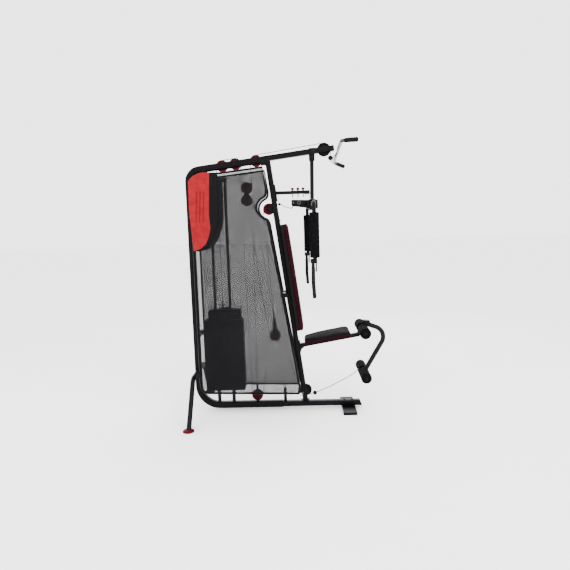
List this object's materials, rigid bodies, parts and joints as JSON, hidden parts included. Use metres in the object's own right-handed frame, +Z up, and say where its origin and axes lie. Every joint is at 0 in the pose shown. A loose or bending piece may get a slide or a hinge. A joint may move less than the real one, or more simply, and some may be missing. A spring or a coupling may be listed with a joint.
{
  "type": "multi station home gym",
  "caption": "Freestanding home gym: bent steel C-frame with weight stack behind mesh guards, lat bar, press arm with butterfly pads, seat, backrest and leg developer.",
  "frame": {"origin": "centre of the floor rectangle that the gym stands on", "axes": "+X to the front (leg developer), +Z up, -Y the near side"},
  "size_m": [1.5101, 1.0111, 2.0372],
  "materials": {
    "black_paint": "glossy black powder coat",
    "grey_paint": "satin charcoal powder coat",
    "red_plastic": "moulded crimson plastic",
    "black_plastic": "moulded black nylon",
    "guard_mesh": "grey coated expanded mesh in a black tube border",
    "dark_steel": "blackened polished steel",
    "plate_shell": "black shell over a cast filling",
    "black_vinyl": "padded black vinyl with dark red side borders",
    "foam": "closed cell foam",
    "chrome": "polished chrome plate",
    "cable_sheath": "black coated steel cable"
  },
  "bodies": {
    "frame": {"rear_frame": "black_paint", "base_tube": "black_paint", "boom_tube": "black_paint", "upright": "black_paint", "rear_stabiliser": "black_paint", "rear_foot_near": "red_plastic", "rear_foot_far": "red_plastic", "front_foot": "black_paint", "guard_near": "guard_mesh", "guard_far": "guard_mesh", "guide_rod_rear": "dark_steel", "guide_rod_front": "dark_steel", "double_block": "black_paint", "floating_block": "black_paint", "weight_plate_1": "plate_shell", "weight_plate_2": "plate_shell", "weight_plate_3": "plate_shell", "weight_plate_4": "plate_shell", "weight_plate_5": "plate_shell", "backrest": "black_vinyl", "seat": "black_vinyl", "seat_frame": "black_paint", "press_brace": "black_paint", "lat_cable": "cable_sheath", "lat_drop_cable": "cable_sheath", "stack_cable": "cable_sheath", "low_cable": "cable_sheath", "press_cable": "cable_sheath", "guide_cord": "cable_sheath"},
    "lifted_stack": {"weight_plate_6": "plate_shell", "weight_plate_7": "plate_shell", "weight_plate_8": "plate_shell", "stack_head": "plate_shell", "selector_rod": "dark_steel"},
    "selector_pin": {"selector_pin": "red_plastic"},
    "lat_bar": {"lat_bar": "chrome"},
    "boom_pulley_rear": {"boom_pulley_rear": "red_plastic"},
    "boom_pulley_middle": {"boom_pulley_middle": "red_plastic"},
    "boom_pulley_front": {"boom_pulley_front": "red_plastic"},
    "lat_pulley": {"lat_pulley": "black_plastic"},
    "block_pulley_upper": {"block_pulley_upper": "red_plastic"},
    "block_pulley_lower": {"block_pulley_lower": "red_plastic"},
    "floating_pulley": {"floating_pulley": "red_plastic"},
    "base_pulley": {"base_pulley": "red_plastic"},
    "notch_pulley": {"notch_pulley": "red_plastic"},
    "low_pulley": {"low_pulley": "black_plastic"},
    "press_arm": {"press_arm": "grey_paint"},
    "butterfly_arm_near": {"butterfly_arm_near": "grey_paint", "arm_pad_near": "foam"},
    "butterfly_arm_far": {"butterfly_arm_far": "grey_paint", "arm_pad_far": "foam"},
    "leg_developer": {"leg_developer": "grey_paint"},
    "upper_roller_near": {"upper_roller_near": "foam"},
    "upper_roller_far": {"upper_roller_far": "foam"},
    "lower_roller_near": {"lower_roller_near": "foam"},
    "lower_roller_far": {"lower_roller_far": "foam"},
    "pull_pin_1": {"pull_pin_1": "red_plastic"},
    "pull_pin_2": {"pull_pin_2": "red_plastic"},
    "pull_pin_3": {"pull_pin_3": "red_plastic"}
  },
  "joints": [
    {"name": "stack_lift", "type": "slide", "parent": "frame", "child": "lifted_stack", "axis": [0, 0, -1], "range_m": [-0.6, 0], "deforming": ["stack_cable"]},
    {"name": "lat_pull", "type": "slide", "parent": "frame", "child": "lat_bar", "axis": [0, 0, -1], "range_m": [0, 0.6], "deforming": ["lat_drop_cable"]},
    {"name": "selector_pin_pull", "type": "slide", "parent": "lifted_stack", "child": "selector_pin", "axis": [0, -1, 0], "range_m": [0, 0.04]},
    {"name": "boom_pulley_rear_turn", "type": "hinge", "parent": "frame", "child": "boom_pulley_rear", "pos_m": [-0.4549, 0, 1.89217], "axis": [0, 1, 0], "range_deg": [0, 822]},
    {"name": "boom_pulley_middle_turn", "type": "hinge", "parent": "frame", "child": "boom_pulley_middle", "pos_m": [-0.354, 0, 1.90403], "axis": [0, 1, 0], "range_deg": [0, 822]},
    {"name": "boom_pulley_front_turn", "type": "hinge", "parent": "frame", "child": "boom_pulley_front", "pos_m": [-0.199, 0, 1.92224], "axis": [0, 1, 0], "range_deg": [0, 822]},
    {"name": "lat_pulley_turn", "type": "hinge", "parent": "frame", "child": "lat_pulley", "pos_m": [0.31, 0, 1.98705], "axis": [0, 1, 0], "range_deg": [0, 720]},
    {"name": "block_pulley_upper_turn", "type": "hinge", "parent": "frame", "child": "block_pulley_upper", "pos_m": [-0.277, 0, 1.725], "axis": [0, 1, 0], "range_deg": [-822, 0]},
    {"name": "block_pulley_lower_turn", "type": "hinge", "parent": "frame", "child": "block_pulley_lower", "pos_m": [-0.279, 0, 1.633], "axis": [0, 1, 0], "continuous": true},
    {"name": "floating_pulley_turn", "type": "hinge", "parent": "frame", "child": "floating_pulley", "pos_m": [-0.097, 0, 0.59], "axis": [0, 1, 0], "continuous": true},
    {"name": "base_pulley_turn", "type": "hinge", "parent": "frame", "child": "base_pulley", "pos_m": [-0.252, 0, 0.116], "axis": [0, 1, 0], "continuous": true},
    {"name": "notch_pulley_turn", "type": "hinge", "parent": "frame", "child": "notch_pulley", "pos_m": [-0.114, 0, 1.561], "axis": [0, 1, 0], "continuous": true},
    {"name": "low_pulley_turn", "type": "hinge", "parent": "frame", "child": "low_pulley", "pos_m": [0.132, 0, 0.149], "axis": [0, 1, 0], "continuous": true},
    {"name": "press_swing", "type": "hinge", "parent": "frame", "child": "press_arm", "pos_m": [0.219, 0, 1.93], "axis": [0, -1, 0], "range_deg": [0, 30], "deforming": ["press_cable"]},
    {"name": "butterfly_near", "type": "hinge", "parent": "press_arm", "child": "butterfly_arm_near", "pos_m": [0.214, -0.08, 1.584], "axis": [0, 0, 1], "range_deg": [0, 85]},
    {"name": "butterfly_far", "type": "hinge", "parent": "press_arm", "child": "butterfly_arm_far", "pos_m": [0.214, 0.08, 1.584], "axis": [0, 0, -1], "range_deg": [0, 88]},
    {"name": "leg_swing", "type": "hinge", "parent": "frame", "child": "leg_developer", "pos_m": [0.579, 0, 0.626], "axis": [0, -1, 0], "range_deg": [0, 85]},
    {"name": "upper_roller_near_turn", "type": "hinge", "parent": "frame", "child": "upper_roller_near", "pos_m": [0.579, -0.11, 0.626], "axis": [0, 1, 0], "continuous": true},
    {"name": "upper_roller_far_turn", "type": "hinge", "parent": "frame", "child": "upper_roller_far", "pos_m": [0.579, 0.11, 0.626], "axis": [0, 1, 0], "continuous": true},
    {"name": "lower_roller_near_turn", "type": "hinge", "parent": "leg_developer", "child": "lower_roller_near", "pos_m": [0.582, -0.11, 0.287], "axis": [0, 1, 0], "continuous": true},
    {"name": "lower_roller_far_turn", "type": "hinge", "parent": "leg_developer", "child": "lower_roller_far", "pos_m": [0.582, 0.11, 0.287], "axis": [0, 1, 0], "continuous": true},
    {"name": "pull_pin_1_lift", "type": "slide", "parent": "frame", "child": "pull_pin_1", "axis": [0, 0, 1], "range_m": [0, 0.015], "stiffness_N_per_m": 500, "springref_m": -0.004},
    {"name": "pull_pin_2_lift", "type": "slide", "parent": "frame", "child": "pull_pin_2", "axis": [0, 0, 1], "range_m": [0, 0.015], "stiffness_N_per_m": 500, "springref_m": -0.004},
    {"name": "pull_pin_3_lift", "type": "slide", "parent": "frame", "child": "pull_pin_3", "axis": [0, 0, 1], "range_m": [0, 0.015], "stiffness_N_per_m": 500, "springref_m": -0.004}
  ],
  "couplings": [
    {"joint": "lat_pull", "follows": "stack_lift", "ratio": -1},
    {"joint": "boom_pulley_rear_turn", "follows": "stack_lift", "rad_per_m": -23.753},
    {"joint": "boom_pulley_middle_turn", "follows": "stack_lift", "rad_per_m": -23.753},
    {"joint": "boom_pulley_front_turn", "follows": "stack_lift", "rad_per_m": -23.753},
    {"joint": "lat_pulley_turn", "follows": "stack_lift", "rad_per_m": -20.79},
    {"joint": "block_pulley_upper_turn", "follows": "stack_lift", "rad_per_m": 23.753}
  ]
}
